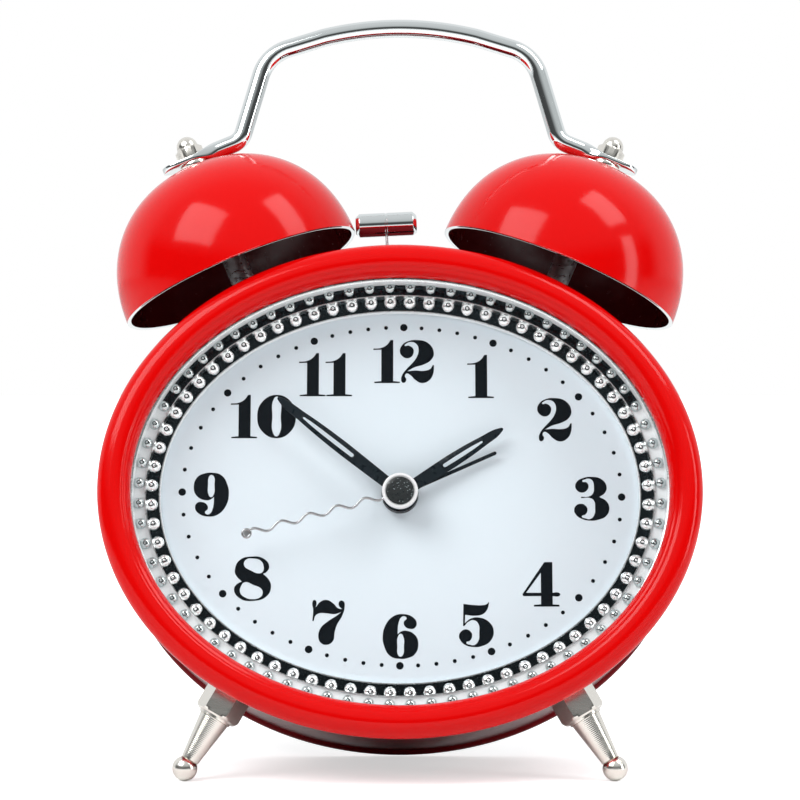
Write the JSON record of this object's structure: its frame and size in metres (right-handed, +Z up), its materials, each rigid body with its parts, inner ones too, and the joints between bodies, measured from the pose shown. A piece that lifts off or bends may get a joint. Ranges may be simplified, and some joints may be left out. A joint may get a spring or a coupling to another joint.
{
  "type": "twin-bell alarm clock",
  "caption": "Oval-faced quartz alarm clock with bells either side of a carrying handle, a swinging hammer between them and splayed ball feet.",
  "frame": {"origin": "centre of the clock's footprint box, on the surface that it stands on", "axes": "+Z up, dial faces -Y and leans back, +X to the right when looking at the dial"},
  "size_m": [0.127, 0.0761, 0.1632],
  "materials": {
    "red_paint": "gloss baked enamel",
    "case_paint": "gloss baked enamel",
    "clear_glass": "clear flat glass",
    "seal_black": "matte foam rubber",
    "plated_bead": "vacuum-plated mirror finish",
    "dial_white": "satin white print",
    "hand_black": "gloss blue-black lacquer",
    "cap_white": "gloss white",
    "cap_black": "black sparkle disc",
    "bright_chrome": "mirror chrome",
    "nickel": "turned and nickel plated",
    "plain_steel": "zinc plated",
    "cover_black": "fine spark-eroded texture",
    "knob_black": "satin",
    "frame_grey": "moulded satin",
    "box_white": "moulded satin",
    "gear_ivory": "moulded satin",
    "board_green": "solder resist",
    "copper_wire": "enamelled copper winding",
    "contact_brass": "spring brass",
    "contact_nickel": "nickel-plated spring steel",
    "cell_sleeve": "plain gloss sleeve",
    "motor_steel": "zinc plated can",
    "magnet_dark": "sintered magnet",
    "wire_red": "wire insulation",
    "switch_white": "satin white"
  },
  "bodies": {
    "case": {"front_bezel": "red_paint", "front_lens": "clear_glass", "lens_gasket": "seal_black", "bead_ring": "plated_bead", "dial_plate": "dial_white", "inner_plate": "frame_grey", "case_drum": "case_paint", "rear_cover": "cover_black", "rear_screws": "plain_steel", "battery_upper": "cell_sleeve", "battery_lower": "cell_sleeve", "battery_springs": "contact_nickel", "battery_plates": "contact_nickel", "movement_front": "box_white", "movement_back": "box_white", "movement_screws": "plain_steel", "circuit_board": "board_green", "quartz_crystal": "plain_steel", "coil_winding": "copper_wire", "coil_bobbin": "box_white", "stator": "plain_steel", "alarm_frame": "frame_grey", "alarm_motor": "motor_steel", "hammer_pivot": "plain_steel", "switch_blades": "contact_brass", "bell_left": "red_paint", "bell_right": "red_paint", "bell_post_left": "plain_steel", "bell_post_right": "plain_steel", "bell_collars": "nickel", "post_nuts": "plain_steel", "acorn_nuts": "nickel", "handle": "bright_chrome", "foot_left": "nickel", "foot_right": "nickel", "foot_nuts": "plain_steel", "lead_wires": "wire_red"},
    "minute_drive": {"centre_wheel": "gear_ivory", "minute_hand": "hand_black"},
    "motion_wheel": {"minute_wheel": "gear_ivory"},
    "hour_drive": {"hour_wheel": "gear_ivory", "hour_hand": "hand_black"},
    "time_setter": {"time_knob": "knob_black"},
    "seconds_drive": {"seconds_wheel": "gear_ivory", "second_hand": "bright_chrome", "hub_cap": "cap_white", "hub_inlay": "cap_black"},
    "third_drive": {"third_wheel": "gear_ivory"},
    "step_drive": {"intermediate_wheel": "gear_ivory"},
    "rotor_drive": {"rotor": "magnet_dark"},
    "alarm_drive": {"alarm_wheel": "gear_ivory", "alarm_hand": "hand_black"},
    "alarm_setter": {"alarm_knob": "knob_black"},
    "hammer": {"hammer_arm": "plain_steel", "hammer_head": "bright_chrome"},
    "eccentric": {"motor_eccentric": "box_white"},
    "switch": {"alarm_switch": "switch_white"},
    "door": {"battery_door": "cover_black"}
  },
  "joints": [
    {"name": "minute_turn", "type": "hinge", "parent": "case", "child": "minute_drive", "pos_m": [0, -0.00327, 0.05619], "axis": [0, 0.9708, -0.24], "continuous": true},
    {"name": "motion_turn", "type": "hinge", "parent": "case", "child": "motion_wheel", "pos_m": [0.00831, -0.00212, 0.06085], "axis": [0, 0.9708, -0.24], "continuous": true},
    {"name": "hour_turn", "type": "hinge", "parent": "case", "child": "hour_drive", "pos_m": [0, -0.00327, 0.05619], "axis": [0, 0.9708, -0.24], "continuous": true},
    {"name": "time_set_turn", "type": "hinge", "parent": "case", "child": "time_setter", "pos_m": [0.01704, -0.0009, 0.06574], "axis": [0, 0.9708, -0.24], "continuous": true},
    {"name": "seconds_turn", "type": "hinge", "parent": "case", "child": "seconds_drive", "pos_m": [0, -0.00327, 0.05619], "axis": [0, 0.9708, -0.24], "continuous": true},
    {"name": "third_turn", "type": "hinge", "parent": "case", "child": "third_drive", "pos_m": [-0.00831, -0.00442, 0.05153], "axis": [0, 0.9708, -0.24], "continuous": true},
    {"name": "step_turn", "type": "hinge", "parent": "case", "child": "step_drive", "pos_m": [-0.00831, -0.00212, 0.06085], "axis": [0, 0.9708, -0.24], "continuous": true},
    {"name": "rotor_turn", "type": "hinge", "parent": "case", "child": "rotor_drive", "pos_m": [-0.01708, -0.00135, 0.06395], "axis": [0, 0.9708, -0.24], "continuous": true},
    {"name": "alarm_turn", "type": "hinge", "parent": "case", "child": "alarm_drive", "pos_m": [0, -0.00327, 0.05619], "axis": [0, 0.9708, -0.24], "continuous": true},
    {"name": "alarm_set_turn", "type": "hinge", "parent": "case", "child": "alarm_setter", "pos_m": [0, -0.00071, 0.06655], "axis": [0, 0.9708, -0.24], "continuous": true},
    {"name": "hammer_swing", "type": "hinge", "parent": "case", "child": "hammer", "pos_m": [-0.0015, 0.00539, 0.08619], "axis": [0, 0.9708, -0.24], "range_deg": [-0.1, 11]},
    {"name": "motor_turn", "type": "hinge", "parent": "case", "child": "eccentric", "pos_m": [0.014, 0.01047, 0.09091], "axis": [0, 0.9708, -0.24], "continuous": true},
    {"name": "alarm_switch_slide", "type": "slide", "parent": "case", "child": "switch", "axis": [1, 0, 0], "range_m": [0, 0.005]},
    {"name": "battery_door_swing", "type": "hinge", "parent": "case", "child": "door", "pos_m": [0, 0.00936, 0.00975], "axis": [-1, 0, 0], "range_deg": [0, 80]}
  ],
  "couplings": [
    {"joint": "motion_turn", "follows": "minute_turn", "ratio": -0.33333},
    {"joint": "hour_turn", "follows": "minute_turn", "ratio": 0.083333},
    {"joint": "time_set_turn", "follows": "minute_turn", "ratio": 0.83333},
    {"joint": "third_turn", "follows": "seconds_turn", "ratio": -0.125},
    {"joint": "step_turn", "follows": "seconds_turn", "ratio": -5},
    {"joint": "rotor_turn", "follows": "seconds_turn", "ratio": 30},
    {"joint": "alarm_set_turn", "follows": "alarm_turn", "ratio": -3}
  ]
}
